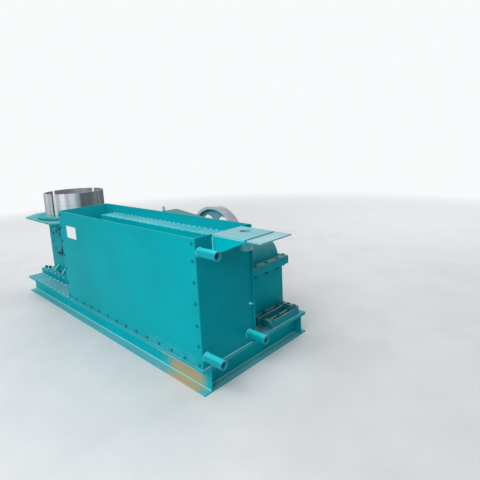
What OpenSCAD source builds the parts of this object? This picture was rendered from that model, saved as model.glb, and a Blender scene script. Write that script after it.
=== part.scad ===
// Wire drawing machine with water tank
// Millimetres, +Z up, the front panel of the tank faces -Y, the take-up capstan stands at -X.

/* [Base] */
// Height of the rolled channels
channel_h = 160; // [140:10:180]
// Flange width of the rolled channels
channel_b = 65; // [60:1:75]
// Web thickness of the rolled channels
channel_web = 7; // [6:0.5:9]
// Flange thickness of the rolled channels
channel_flange = 10; // [8:0.5:12]
// Thickness of the deck plate
deck_t = 12; // [8:1:16]
// Number of cross members under the deck
cross_count = 3; // [2:1:4]

/* [Tank] */
// Outer length of the tank
tank_l = 1922; // [1900:2:1940]
// Outer width of the tank
tank_w = 480; // [470:1:500]
// How far the base stands out in front of the tank
tank_set = 10; // [8:1:20]
// How far the base stands out past the tank's right end
tank_out = 12; // [8:1:20]
// Height of the tank above the deck
tank_h = 832; // [820:1:850]
// Thickness of the tank plates
tank_t = 6; // [5:0.5:8]
// Leg of the angle bars that the front panel is bolted to
angle_leg = 40; // [36:1:50]
// Thickness of those angle bars
angle_t = 5; // [4:0.5:6]
// How far the back plate runs on past the right end wall
back_tab = 15; // [10:1:30]
// Depth of the top of the ledge along the back wall
ledge_w = 134; // [120:1:150]
// Drop of the ledge below the rim
ledge_drop = 80; // [70:1:100]
// Height of the ledge's front skirt
ledge_skirt_h = 90; // [70:1:110]
// Plate thickness of the ledge
ledge_t = 5; // [4:0.5:6]
// Gap between the left end wall and the ledge
ledge_gap = 128; // [100:1:150]

/* [Pay-in shelf] */
// Length of the main shelf plate beyond the end wall
shelf_l = 269; // [260:1:280]
// Depth of the main shelf plate
shelf_w = 261; // [250:1:275]
// Distance of the shelf's front edge from the front panel
shelf_y = 138; // [120:1:145]
// Thickness of the shelf plates
shelf_t = 8; // [6:1:10]
// Diameter of the round hole in the shelf
shelf_hole_d = 72; // [69:1:78]
// Distance of that hole from the end wall
shelf_hole_x = 118; // [110:1:130]
// Distance of that hole from the shelf's front edge
shelf_hole_y = 171; // [150:1:180]
// Reach of the lip plate, measured from the end wall
lip_reach = 380; // [365:1:395]
// How far the lip plate laps under the main plate
lip_lap = 77; // [60:1:90]
// Depth of the lip plate
lip_w = 273; // [262:1:290]
// Set-back of the lip plate's front edge from the main plate's
lip_set = 13; // [12:1:20]
// Outer diameter of the socket pipe under the round hole
socket_d = 80; // [80:1:90]
// Wall thickness of the socket pipe
socket_t = 6; // [6:1:9]
// Length of the socket pipe
socket_l = 110; // [90:1:130]
// Height of the gussets under the shelf
gusset_h = 125; // [110:1:135]

/* [Pipe stubs] */
// Outer diameter of the pipe stubs
pipe_d = 48; // [42:1:56]
// Wall thickness of the pipe stubs
pipe_t = 4; // [3:0.5:6]
// Length of the pipe stubs beyond the end wall
pipe_l = 152; // [130:1:165]
// Height of the overflow pipe's axis below the rim
overflow_drop = 89; // [75:1:100]
// Height of the drain pipes' axes above the deck
drain_rise = 75; // [60:1:90]
// Distance of the front pipe axes from the front panel's face
pipe_front_w = 35; // [34:1:60]
// Distance of the back pipe axis from the back wall's face
pipe_back_w = 55; // [42:1:60]

/* [Gearbox] */
// Width of the gearbox body
gear_w = 380; // [350:1:384]
// Height of the gearbox body up to the split flange
gear_h = 384; // [360:1:400]
// Distance of the gearbox's left end from the tank's left end
gear_in = 104; // [90:1:115]
// How far the gearbox ends short of the tank's right end
gear_short = 178; // [170:1:200]
// Distance between the tank's back wall and the gearbox body
gear_gap = 178; // [176:1:182]
// Overhang of the split flange
flange_over = 38; // [30:1:40]
// Distance from the split flange to the back of the base
gear_edge = 4; // [2:1:60]
// Thickness of each half of the split flange
flange_t = 32; // [24:1:36]
// Radius of the cover's big arc, at the left
cover_big_r = 280; // [265:1:295]
// Radius of the cover's small arc, at the right
cover_small_r = 160; // [145:1:175]
// Set-back of the cover from the flange's left end
cover_left_in = 88; // [75:1:100]
// Set-back of the cover from the flange's right end
cover_right_in = 55; // [40:1:80]
// Set-back of the cover from the body's front face
cover_front = 12; // [6:1:24]
// Set-back of the cover from the body's back face
cover_back = 28; // [10:1:40]
// Diameter of the input bearing's housing on the gearbox's back
housing_d = 150; // [140:1:170]
// How far that housing stands out past the gearbox's back
housing_out = 62; // [50:1:70]

/* [Drive pulley] */
// Outer diameter of the V-belt pulley
pulley_d = 670; // [640:2:700]
// Number of belt grooves
groove_count = 5; // [4:1:5]
// Spacing of the belt grooves
groove_pitch = 19; // [18.5:0.5:20]
// Depth of the belt grooves
groove_deep = 15; // [12:0.5:16]
// Top width of the belt grooves
groove_w = 16; // [14:0.5:16.5]
// Rim thickness under the grooves
rim_under = 15; // [10:1:18]
// Distance of the pulley's axis from the gearbox's left end
pulley_in = 656; // [630:1:680]
// Gap between the gearbox body and the pulley
pulley_gap = 152; // [140:1:165]
// Number of windows in the pulley's web
window_count = 5; // [4:1:6]
// Diameter of the pulley hub
hub_d = 120; // [100:1:140]
// Diameter of the input shaft
input_d = 50; // [40:1:60]

/* [Motor rails] */
// Length of the motor rails along Y
rail_l = 350; // [340:5:380]
// Width of the motor rails
rail_w = 54; // [46:1:60]
// Height of the motor rails
rail_h = 58; // [50:1:75]
// Gap between the gearbox's right end and the left rail
rail_gap = 5; // [2:1:12]
// Distance of the right rail's centre line from the right end of the base
rail_edge = 40; // [32:1:45]
// Width of the tie across the rails' back ends
tie_l = 34; // [25:1:45]
// Height of that tie above the rails
tie_h = 14; // [8:1:20]
// Width of the bolt slot along each rail
rail_slot_w = 18; // [14:1:22]
// Diameter of the half-round saddle in front of the right rail
saddle_d = 115; // [100:1:125]
// Thickness of that saddle along Y
saddle_t = 30; // [20:1:40]

/* [Capstan pedestal] */
// Distance of the capstan axis from the left end of the base
cap_x = 421; // [410:1:430]
// Distance between the capstan axis and the tank's left end
cap_reach = 620; // [610:1:640]
// Distance of the capstan axis from the front of the base
cap_y = 441; // [430:1:450]
// Width of the pedestal box along X
ped_w = 470; // [440:5:490]
// Depth of the pedestal box along Y
ped_d = 440; // [420:5:450]
// Height of the top of the tray above the deck
tray_z = 678; // [660:1:690]
// Width of the tray along X
tray_w = 980; // [950:5:1010]
// Depth of the tray along Y
tray_d = 840; // [820:5:860]
// Chamfer of the tray's corners
tray_cut = 170; // [150:1:190]
// Thickness of the tray plate
tray_t = 12; // [8:1:14]
// Length of the two foot bars
bar_l = 890; // [840:5:900]
// Distance of the foot bars' left end from the left end of the base
bar_x = 30; // [20:1:40]
// Distance of the front foot bar from the front of the base
bar_y = 135; // [125:1:145]
// Distance between the near faces of the two foot bars
bar_pitch = 515; // [505:1:525]
// Width of the foot bars
bar_w = 80; // [70:1:100]
// Height of the foot bars
bar_h = 63; // [50:1:75]
// Side of the foot plate along X
foot_w = 580; // [550:5:610]
// Thickness of the foot plate
foot_t = 14; // [10:1:18]
// Diameter of the round cover on the pedestal's front
round_d = 274; // [250:1:300]
// Height of that cover's centre above the deck
round_z = 418; // [400:1:440]

/* [Capstan] */
// Outer diameter of the slotted drum
drum_d = 604; // [580:2:620]
// Height of the drum
drum_h = 236; // [220:1:250]
// Wall thickness of the drum
drum_t = 12; // [10:1:16]
// Number of slots through the drum
drum_slots = 4; // [3:1:6]
// Width of the slots
drum_slot_w = 30; // [20:1:36]
// Angle of the first slot from +X
drum_phase = 22; // [0:1:80]
// Outer diameter of the flange disc under the drum
disc_d = 772; // [740:2:790]
// Thickness of the flange disc
disc_t = 12; // [10:1:16]
// Diameter of the capstan shaft
cap_shaft_d = 80; // [60:1:90]
// Diameter of the hub round that shaft
hub_outer_d = 148; // [130:2:170]
// Height of that hub above the disc
hub_h = 50; // [30:1:60]
// Chamfer of the disc's rim
rim_cut = 3; // [2:0.5:4]

/* [Stepped cones] */
// Distance of the left cone's axis from the tank's left end
cone_left_x = 484; // [470:2:520]
// Distance of the right cone's axis from the tank's left end
cone_right_x = 1184; // [1100:2:1190]
// Diameter of the largest step
cone_d = 340; // [300:5:360]
// Number of steps
cone_steps = 5; // [3:1:6]
// Drop in diameter from step to step
cone_drop = 36; // [24:2:44]
// Width of one step
cone_step_w = 44; // [36:1:48]
// Diameter of the cone shafts
cone_shaft_d = 50; // [40:1:60]
// Outer diameter of the seal rings round the shafts
seal_d = 120; // [100:2:140]
// Thickness of the seal rings
seal_t = 22; // [14:1:30]

/* [Exit die box] */
// Depth of the die box along X
die_l = 77; // [70:1:100]
// Width of the die box along Y
die_w = 91; // [80:1:110]
// Height of the die box
die_h = 126; // [110:1:140]
// Distance of the die box from the front panel's face
die_y = 30; // [25:1:60]
// Distance of the die box's top below the rim
die_drop = 84; // [70:1:100]
// Diameter of the drip pipe under the die box
die_pipe_d = 26; // [20:1:34]
// Length of the drip pipe
die_pipe_l = 36; // [25:1:50]
// Thickness of the die box lid
lid_t = 8; // [5:1:10]
// Overhang of the die box lid
lid_over = 6; // [3:1:10]

/* [Side wheel] */
// Diameter of the wheel behind the pedestal
wheel_d = 170; // [150:1:180]
// Width of the wheel's rim
wheel_w = 36; // [30:1:42]
// Distance of the wheel's axis from the pedestal's outer face
wheel_in = 36; // [34:1:50]
// Height of the wheel's axis above the deck
wheel_rise = 498; // [480:1:500]
// Diameter of the wheel's shaft
wheel_shaft_d = 25; // [20:1:30]
// Length of the wheel's bearing boss
boss_l = 60; // [50:1:70]
// Diameter of the oil pipe
oil_d = 14; // [10:1:18]
// Height of the oil pipe's lower end above the deck
oil_rise = 446; // [430:1:460]
// Height of the drain tap above the deck
tap_rise = 295; // [280:1:310]

/* [Clearances] */
// Radial clearance of a shaft in its bearing
run_fit = 0.05; // [0.02:0.01:0.1]
// Gap between the turning capstan disc and the tray
disc_gap = 6; // [6:1:12]

/* [Hidden] */
$fn = 96;

teal = [0, 0.62, 0.66];
dusty = [0.35, 0.6, 0.64];
steel = [0.75, 0.76, 0.78];

// Overlap that makes a cut run clear of a face
cut = 1;
// Height of the deck's top above the floor
deck_z = channel_h + deck_t;
// Ends, faces and rim of the tank
tank_x0 = cap_x + cap_reach;
tank_x1 = tank_x0 + tank_l;
tank_y0 = tank_set;
tank_y1 = tank_set + tank_w;
rim_z = deck_z + tank_h;
// The shelf's far end
shelf_x1 = tank_x1 + lip_reach;
shelf_y0 = tank_y0 + shelf_y;

// Gearbox outline
gear_x0 = tank_x0 + gear_in;
gear_x1 = tank_x1 - gear_short;
gear_y0 = tank_y1 + gear_gap;
gear_y1 = gear_y0 + gear_w;

// Base outline
base_l = tank_x1 + tank_out;
base_w = gear_y1 + flange_over + gear_edge;

// Split plane's underside and the foot of the cover
split_z = deck_z + gear_h;
cover_z0 = split_z + 2 * flange_t;
// Centres of the cover's two arcs
arc_big_x = gear_x0 - flange_over + cover_left_in + cover_big_r;
arc_small_x = gear_x1 + flange_over - cover_right_in - cover_small_r;

// Pulley outline, its axis on the split plane behind the gearbox
pulley_cx = gear_x0 + pulley_in;
pulley_cz = split_z + flange_t;
pulley_side = 12.5;
pulley_w = (groove_count - 1) * groove_pitch + 2 * pulley_side;
pulley_y0 = gear_y1 + pulley_gap;
pulley_y1 = pulley_y0 + pulley_w;
shaft_end = 8;
rim_r = pulley_d / 2 - groove_deep - rim_under;
web_t = 16;
input_into = 60;
housing_y1 = gear_y1 + housing_out;
cap_plate = 22;
cap_nose = 20;

// Middle of the whole machine's outline, which becomes the origin
tray_x0 = min(0, cap_x - tray_w / 2);
mid_x = (tray_x0 + shelf_x1) / 2;
mid_y = (pulley_y1 + shaft_end) / 2;

// Pedestal and capstan heights
bar_top = deck_z + bar_h;
foot_top = bar_top + foot_t;
tray_top = deck_z + tray_z;
ped_top = tray_top - tray_t;
disc_z0 = tray_top + disc_gap;
drum_z0 = disc_z0 + disc_t;
bearing_d = 160;
bearing_into = 160;
bar_back_y = bar_y + bar_pitch;
foot_y0 = bar_y + 12;
foot_y1 = bar_back_y + bar_w - 12;

// Cone shafts
cone_z = split_z;
cone_y0 = tank_y0 + 80;
cone_body = cone_steps * cone_step_w;

// Moves a child from the base's left front corner to the origin of the whole machine
module machine() {
  translate([-mid_x, -mid_y, 0]) children();
}

// Box given by its low and its high corner
module block(a, b) {
  translate(a) cube([b[0] - a[0], b[1] - a[1], b[2] - a[2]]);
}

// Cylinder along +Y from a start point
module rod_y(p, d, l) {
  translate(p) rotate([-90, 0, 0]) cylinder(d = d, h = l);
}

// Cylinder along +X from a start point
module rod_x(p, d, l) {
  translate(p) rotate([0, 90, 0]) cylinder(d = d, h = l);
}

// Cross-section of a rolled channel, web at high x, open towards low x
module channel_profile() {
  difference() {
    square([channel_b, channel_h]);
    translate([-cut, channel_flange])
      square([channel_b - channel_web + cut, channel_h - 2 * channel_flange]);
  }
}

// Rolled channel laid along +X with its open side towards -Y
module channel_along_x(l) {
  rotate([90, 0, 90]) linear_extrude(l) channel_profile();
}

// Plate in the XZ plane, from y and of thickness t
module plate_xz(points, y, t) {
  translate([0, y + t, 0]) rotate([90, 0, 0]) linear_extrude(t) polygon(points);
}

// Plate in the YZ plane, from x and of thickness t
module plate_yz(points, x, t) {
  translate([x, 0, 0]) rotate([90, 0, 90]) linear_extrude(t) polygon(points);
}

module base_front_rail() {
  color(teal) machine() channel_along_x(base_l);
}

module base_back_rail() {
  color(teal) machine() translate([0, base_w, 0]) mirror([0, 1, 0]) channel_along_x(base_l);
}

// End rail between the long rails, open side towards -X
module end_rail() {
  translate([0, base_w - channel_b, 0]) rotate([90, 0, 0])
    linear_extrude(base_w - 2 * channel_b) channel_profile();
}

module base_end_rails() {
  color(teal) machine() {
    end_rail();
    translate([base_l, 0, 0]) mirror([1, 0, 0]) end_rail();
  }
}

module base_cross_members() {
  color(teal) machine()
    for (i = [1 : cross_count])
      translate([i * base_l / (cross_count + 1) - channel_b / 2, 0, 0]) end_rail();
}

module deck_plate() {
  color(dusty) machine() block([0, 0, channel_h], [base_l, base_w, deck_z]);
}

module tank_front_panel() {
  color(teal) machine() block([tank_x0, tank_y0, deck_z], [tank_x1, tank_y0 + tank_t, rim_z]);
}

// Back wall with the holes that the cone shafts pass through
module tank_back_wall() {
  color(teal) machine() difference() {
    block([tank_x0, tank_y1 - tank_t, deck_z], [tank_x1 + back_tab, tank_y1, rim_z]);
    for (x = [cone_left_x, cone_right_x])
      rod_y([tank_x0 + x, tank_y1 - tank_t - cut, cone_z], (cone_shaft_d + seal_d) / 2, tank_t + 2 * cut);
  }
}

module tank_left_end() {
  color(teal) machine() block([tank_x0, tank_y0 + tank_t, deck_z], [tank_x0 + tank_t, tank_y1 - tank_t, rim_z]);
}

// Right end wall with the bores of the three pipe stubs
module tank_right_end() {
  color(teal) machine() difference() {
    block([tank_x1 - tank_t, tank_y0 + tank_t, deck_z], [tank_x1, tank_y1 - tank_t, rim_z]);
    for (p = pipe_places)
      rod_x([tank_x1 - tank_t - cut, p[0], p[1]], pipe_d - 2 * pipe_t, tank_t + 2 * cut);
  }
}

module tank_floor() {
  color(teal) machine()
    block([tank_x0 + tank_t, tank_y0 + tank_t, deck_z], [tank_x1 - tank_t, tank_y1 - tank_t, deck_z + tank_t]);
}

// Angle bars inside the front panel, along its bottom and both ends
module tank_bolting_frame() {
  x0 = tank_x0 + tank_t;
  x1 = tank_x1 - tank_t;
  y0 = tank_y0 + tank_t;
  z0 = deck_z + tank_t;
  color(teal) machine() {
    block([x0, y0, z0], [x1, y0 + angle_t, z0 + angle_leg]);
    block([x0, y0, z0], [x1, y0 + angle_leg, z0 + angle_t]);
    block([x0, y0, z0], [x0 + angle_leg, y0 + angle_t, rim_z]);
    block([x0, y0, z0], [x0 + angle_t, y0 + angle_leg, rim_z]);
    difference() {
      union() {
        block([x1 - angle_leg, y0, z0], [x1, y0 + angle_t, rim_z]);
        block([x1 - angle_t, y0, z0], [x1, y0 + angle_leg, rim_z]);
      }
      for (p = pipe_places)
        rod_x([x1 - angle_leg - cut, p[0], p[1]], pipe_d - 2 * pipe_t, angle_leg + 2 * cut);
    }
  }
}

// Ledge along the back wall: a top plate, a front skirt and a closed left end
module tank_inner_ledge() {
  x0 = tank_x0 + tank_t + ledge_gap;
  x1 = tank_x1 - tank_t;
  y1 = tank_y1 - tank_t;
  z1 = rim_z - ledge_drop;
  color(dusty) machine() {
    block([x0, y1 - ledge_w, z1 - ledge_t], [x1, y1, z1]);
    block([x0, y1 - ledge_w, z1 - ledge_skirt_h], [x1, y1 - ledge_w + ledge_t, z1]);
    block([x0, y1 - ledge_w, z1 - ledge_skirt_h], [x0 + ledge_t, y1, z1]);
  }
}

// Main shelf plate with its round hole
module shelf_plate() {
  color(dusty) machine() difference() {
    block([tank_x1, shelf_y0, rim_z - shelf_t], [tank_x1 + shelf_l, shelf_y0 + shelf_w, rim_z]);
    translate([tank_x1 + shelf_hole_x, shelf_y0 + shelf_hole_y, rim_z - shelf_t - cut])
      cylinder(d = shelf_hole_d, h = shelf_t + 2 * cut);
  }
}

// Lip plate lapped under the main plate
module shelf_lip() {
  z1 = rim_z - shelf_t;
  color(dusty) machine()
    block([tank_x1 + shelf_l - lip_lap, shelf_y0 + lip_set, z1 - shelf_t],
          [shelf_x1, shelf_y0 + lip_set + lip_w, z1]);
}

// Gusset plate under the shelf, its toe at a distance from the end wall
module shelf_gusset(y, toe) {
  z1 = rim_z - shelf_t;
  plate_xz([
    [tank_x1, z1], [tank_x1 + toe, z1], [tank_x1 + toe, z1 - 10], [tank_x1, z1 - gusset_h]
  ], y, tank_t);
}

// A long gusset in front of the lip and a short one that ends before it
module shelf_gussets() {
  color(teal) machine() {
    shelf_gusset(shelf_y0 + 2, shelf_l - 2);
    shelf_gusset(shelf_y0 + shelf_w - 4 - tank_t, shelf_l - lip_lap - 2);
  }
}

// Open pipe below the round hole
module shelf_socket() {
  color(teal) machine()
    translate([tank_x1 + shelf_hole_x, shelf_y0 + shelf_hole_y, rim_z - shelf_t - socket_l])
      difference() {
        cylinder(d = socket_d, h = socket_l);
        translate([0, 0, -cut]) cylinder(d = socket_d - 2 * socket_t, h = socket_l + 2 * cut);
      }
}

// Pipe places on the right end wall, each [y, z]
pipe_places = [
  [tank_y0 + pipe_front_w, rim_z - overflow_drop],
  [tank_y0 + pipe_front_w, deck_z + drain_rise],
  [tank_y1 - pipe_back_w, deck_z + drain_rise]
];

module pipe_stub(p) {
  color(teal) machine() translate([tank_x1, p[0], p[1]]) rotate([0, 90, 0])
    difference() {
      cylinder(d = pipe_d, h = pipe_l);
      translate([0, 0, -cut]) cylinder(d = pipe_d - 2 * pipe_t, h = pipe_l + 2 * cut);
    }
}

module overflow_pipe() {
  pipe_stub(pipe_places[0]);
}

module drain_pipe_front() {
  pipe_stub(pipe_places[1]);
}

module drain_pipe_back() {
  pipe_stub(pipe_places[2]);
}

// Box on the left end wall where the wire leaves the tank
module die_box() {
  z1 = rim_z - die_drop;
  x0 = tank_x0 - die_l;
  y0 = tank_y0 + die_y;
  color(teal) machine() {
    difference() {
      block([x0, y0, z1 - die_h], [tank_x0, y0 + die_w, z1]);
      block([x0 + tank_t, y0 + tank_t, z1 - die_h + tank_t],
            [tank_x0 - tank_t, y0 + die_w - tank_t, z1 + cut]);
    }
    translate([x0 + die_l / 2, y0 + die_w / 2, z1 - die_h - die_pipe_l])
      cylinder(d = die_pipe_d, h = die_pipe_l);
  }
}

module die_box_lid() {
  z1 = rim_z - die_drop;
  y0 = tank_y0 + die_y;
  color(teal) machine()
    block([tank_x0 - die_l - lid_over, y0 - lid_over, z1], [tank_x0, y0 + die_w + lid_over, z1 + lid_t]);
}

// One stepped cone, its largest step at the back
module stepped_cone(x) {
  color(steel) machine() difference() {
    for (i = [1 : cone_steps])
      rod_y([x, cone_y0 + cone_body - i * cone_step_w, cone_z], cone_d - (i - 1) * cone_drop, i * cone_step_w);
    rod_y([x, cone_y0 - cut, cone_z], cone_shaft_d, cone_body + 2 * cut);
  }
}

module stepped_cones() {
  for (x = [cone_left_x, cone_right_x]) stepped_cone(tank_x0 + x);
}

module cone_shafts() {
  color(steel) machine()
    for (x = [cone_left_x, cone_right_x])
      rod_y([tank_x0 + x, cone_y0 - 20, cone_z], cone_shaft_d, gear_y0 - flange_over - cone_y0 + 20);
}

// Seal rings on the back wall round the cone shafts
module shaft_seals() {
  color(teal) machine()
    for (x = [cone_left_x, cone_right_x]) difference() {
      rod_y([tank_x0 + x, tank_y1, cone_z], seal_d, seal_t);
      rod_y([tank_x0 + x, tank_y1 - cut, cone_z], cone_shaft_d, seal_t + 2 * cut);
    }
}

// Half of the input bearing's housing, from y on, above or below the split plane
module housing_half(y, side) {
  r = housing_d / 2;
  intersection() {
    rod_y([pulley_cx, y, pulley_cz], housing_d, housing_y1 - y);
    block([pulley_cx - r, y, pulley_cz + min(side, 0) * r],
          [pulley_cx + r, housing_y1, pulley_cz + max(side, 0) * r]);
  }
}

// Bore of the input shaft in the gearbox and its housing
module input_bore() {
  rod_y([pulley_cx, gear_y1 - input_into - 2, pulley_cz], input_d + 2 * run_fit,
        housing_y1 - gear_y1 + input_into + 2 + cut);
}

// Lower half: the body, its flange and the lower half of the bearing housing
module gearbox_body() {
  color(teal) machine() difference() {
    union() {
      block([gear_x0, gear_y0, deck_z], [gear_x1, gear_y1, split_z]);
      block([gear_x0 - flange_over, gear_y0 - flange_over, split_z],
            [gear_x1 + flange_over, gear_y1 + flange_over, split_z + flange_t]);
      housing_half(gear_y1 - input_into, -1);
    }
    input_bore();
  }
}

// Outline of the cover: a big arc, a small arc and the straight slope that touches both
module cover_outline() {
  lean = asin((cover_big_r - cover_small_r) / (arc_small_x - arc_big_x));
  difference() {
    union() {
      translate([arc_big_x, cover_z0]) circle(r = cover_big_r);
      translate([arc_small_x, cover_z0]) circle(r = cover_small_r);
      polygon([
        [arc_big_x, cover_z0], [arc_small_x, cover_z0],
        [arc_small_x + cover_small_r * sin(lean), cover_z0 + cover_small_r * cos(lean)],
        [arc_big_x + cover_big_r * sin(lean), cover_z0 + cover_big_r * cos(lean)]
      ]);
    }
    translate([arc_big_x - cover_big_r - cut, cover_z0 - cover_big_r - cut])
      square([gear_x1 - gear_x0 + 2 * cut, cover_big_r + cut]);
  }
}

// Upper half: flange, arched cover and the upper half of the bearing housing
module gearbox_cover() {
  color(dusty) machine() difference() {
    union() {
      block([gear_x0 - flange_over, gear_y0 - flange_over, split_z + flange_t],
            [gear_x1 + flange_over, gear_y1 + flange_over, cover_z0]);
      translate([0, gear_y1 - cover_back, 0]) rotate([90, 0, 0])
        linear_extrude(gear_w - cover_front - cover_back) cover_outline();
      housing_half(gear_y1 - input_into, 1);
    }
    input_bore();
  }
}

// Lifting eye on top of the cover's big arc
module cover_eyebolt() {
  color(teal) machine() translate([arc_big_x, (gear_y0 + gear_y1) / 2, cover_z0 + cover_big_r]) {
    cylinder(d = 34, h = 8);
    cylinder(d = 14, h = 20);
    translate([0, 0, 34]) rotate([90, 0, 0]) rotate_extrude() translate([15, 0]) circle(d = 9);
  }
}

// Ring and nose on the outer end of the bearing housing
module input_bearing_cap() {
  color(teal) machine() difference() {
    union() {
      rod_y([pulley_cx, housing_y1, pulley_cz], input_d + 80, cap_plate);
      rod_y([pulley_cx, housing_y1, pulley_cz], input_d + 40, cap_plate + cap_nose);
    }
    rod_y([pulley_cx, housing_y1 - cut, pulley_cz], input_d + 2 * run_fit, cap_plate + cap_nose + 2 * cut);
  }
}

module input_shaft() {
  y0 = gear_y1 - input_into;
  color(steel) machine() rod_y([pulley_cx, y0, pulley_cz], input_d, pulley_y1 + shaft_end - y0);
}

// Profile of the grooved rim: x is the radius and y is the width
module rim_profile() {
  difference() {
    translate([rim_r, 0]) square([pulley_d / 2 - rim_r, pulley_w]);
    for (i = [0 : groove_count - 1])
      translate([pulley_d / 2, pulley_side + i * groove_pitch])
        polygon([
          [cut, groove_w / 2 + 0.35 * cut], [-groove_deep, groove_w / 2 - 0.35 * groove_deep],
          [-groove_deep, -groove_w / 2 + 0.35 * groove_deep], [cut, -groove_w / 2 - 0.35 * cut]
        ]);
  }
}

// Grooved rim, web with windows and hub
module drive_pulley() {
  window_r = (rim_r + hub_d / 2) / 2;
  window_d = (rim_r - hub_d / 2) * 0.72;
  color(steel) machine() translate([pulley_cx, pulley_y0, pulley_cz]) rotate([-90, 0, 0])
    difference() {
      union() {
        rotate_extrude() rim_profile();
        difference() {
          translate([0, 0, pulley_w / 2 - web_t / 2]) cylinder(r = rim_r + cut, h = web_t);
          for (i = [0 : window_count - 1])
            rotate(i * 360 / window_count + 90) translate([window_r, 0, 0])
              cylinder(d = window_d, h = pulley_w);
        }
        cylinder(d = hub_d, h = pulley_w);
      }
      translate([0, 0, -cut]) cylinder(d = input_d, h = pulley_w + 2 * cut);
    }
}

// Slotted rail along Y between two ends
module motor_rail(x, y0, y1) {
  rail_top = deck_z + rail_h;
  difference() {
    block([x - rail_w / 2, y0, deck_z], [x + rail_w / 2, y1, rail_top]);
    block([x - rail_slot_w / 2, y0 + slot_end, deck_z + slot_floor],
          [x + rail_slot_w / 2, y1 - tie_l - slot_end, rail_top + cut]);
  }
}

// Two slotted rails tied at the back, and a half-round saddle in front of the right one
module motor_rails() {
  y0 = gear_y0 + saddle_in;
  y1 = gear_y0 + rail_l;
  x1 = gear_x1 + rail_gap + rail_w / 2;
  x2 = base_l - rail_edge;
  saddle_x = x1 + rail_w / 2 + saddle_d / 2 + 2;
  color(teal) machine() {
    motor_rail(x1, gear_y0, y1);
    motor_rail(x2, y0 + saddle_t, y1);
    block([x1 - rail_w / 2, y1 - tie_l, deck_z], [x2 + rail_w / 2, y1, deck_z + rail_h + tie_h]);
    intersection() {
      rod_y([saddle_x, y0, deck_z], saddle_d, saddle_t);
      block([saddle_x - saddle_d / 2, y0, deck_z], [saddle_x + saddle_d / 2, y0 + saddle_t, deck_z + saddle_d]);
    }
  }
}
slot_end = 10;
slot_floor = 12;
saddle_in = 22;

module foot_bars() {
  color(teal) machine()
    for (y = [bar_y, bar_back_y])
      block([bar_x, y, deck_z], [bar_x + bar_l, y + bar_w, bar_top]);
}

module foot_plate() {
  color(teal) machine()
    block([cap_x - foot_w / 2, foot_y0, bar_top], [cap_x + foot_w / 2, foot_y1, foot_top]);
}

// Triangular gussets round the foot of the pedestal and under the tray
module pedestal_gussets() {
  foot_gussets();
  tray_gussets();
}

// Two on each side of the foot
module foot_gussets() {
  t = 10;
  h = 65;
  leg_x = foot_w / 2 - ped_w / 2 - 6;
  leg_y = min(cap_y - ped_d / 2 - foot_y0, foot_y1 - cap_y - ped_d / 2) - 2;
  color(teal) machine() {
    for (s = [-1, 1], x = [cap_x - 98, cap_x + 98])
      plate_yz([
        [cap_y + s * ped_d / 2, foot_top], [cap_y + s * (ped_d / 2 + leg_y), foot_top],
        [cap_y + s * ped_d / 2, foot_top + h]
      ], x - t / 2, t);
    for (s = [-1, 1], y = [cap_y - 120, cap_y + 120])
      plate_xz([
        [cap_x + s * ped_w / 2, foot_top], [cap_x + s * (ped_w / 2 + leg_x), foot_top],
        [cap_x + s * ped_w / 2, foot_top + h]
      ], y - t / 2, t);
  }
}

// Closed box with the seat of the capstan bearing in its top
module pedestal_body() {
  color(teal) machine() difference() {
    block([cap_x - ped_w / 2, cap_y - ped_d / 2, foot_top], [cap_x + ped_w / 2, cap_y + ped_d / 2, ped_top]);
    translate([cap_x, cap_y, ped_top - bearing_into]) cylinder(d = bearing_d, h = bearing_into + cut);
  }
}

module pedestal_round_cover() {
  y0 = cap_y - ped_d / 2;
  color(teal) machine() {
    rod_y([cap_x, y0 - 12, deck_z + round_z], round_d, 12);
    rod_y([cap_x, y0 - 18, deck_z + round_z], round_d - 70, 6);
  }
}

// Tray with chamfered corners and the hole for the capstan bearing
module tray_plate() {
  a = tray_w / 2;
  b = tray_d / 2;
  c = tray_cut;
  color(dusty) machine() translate([cap_x, cap_y, ped_top]) linear_extrude(tray_t) difference() {
    polygon([
      [-a + c, -b], [a - c, -b], [a, -b + c], [a, b - c],
      [a - c, b], [-a + c, b], [-a, b - c], [-a, -b + c]
    ]);
    circle(d = bearing_d);
  }
}

module tray_gussets() {
  t = 8;
  h = 76;
  l = 120;
  color(teal) machine()
    for (s = [-1, 1], x = [cap_x - 120, cap_x + 120])
      plate_yz([
        [cap_y + s * ped_d / 2, ped_top], [cap_y + s * (ped_d / 2 + l), ped_top],
        [cap_y + s * ped_d / 2, ped_top - h]
      ], x - t / 2, t);
}

// Bearing sleeve let into the pedestal, level with the tray's top
module capstan_bearing() {
  color(steel) machine() translate([cap_x, cap_y, ped_top - bearing_into]) difference() {
    cylinder(d = bearing_d, h = bearing_into + tray_t);
    translate([0, 0, 30]) cylinder(d = cap_shaft_d + 2 * run_fit, h = bearing_into + tray_t);
  }
}

module capstan_shaft() {
  z0 = ped_top - bearing_into + 30.3;
  color(steel) machine() translate([cap_x, cap_y, z0]) {
    cylinder(d = cap_shaft_d, h = drum_z0 + 60 - z0);
    translate([0, 0, drum_z0 + 60 - z0]) cylinder(d = cap_shaft_d - 24, h = 24);
  }
}

// Disc under the drum with chamfered rim and a hub
module capstan_flange() {
  r0 = cap_shaft_d / 2;
  r1 = disc_d / 2;
  rh = hub_outer_d / 2;
  color(teal) machine() translate([cap_x, cap_y, disc_z0]) rotate_extrude() polygon([
    [r0, 0], [r1 - rim_cut, 0], [r1, rim_cut], [r1, disc_t - rim_cut], [r1 - rim_cut, disc_t],
    [rh, disc_t], [rh, disc_t + hub_h], [r0, disc_t + hub_h]
  ]);
}

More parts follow.
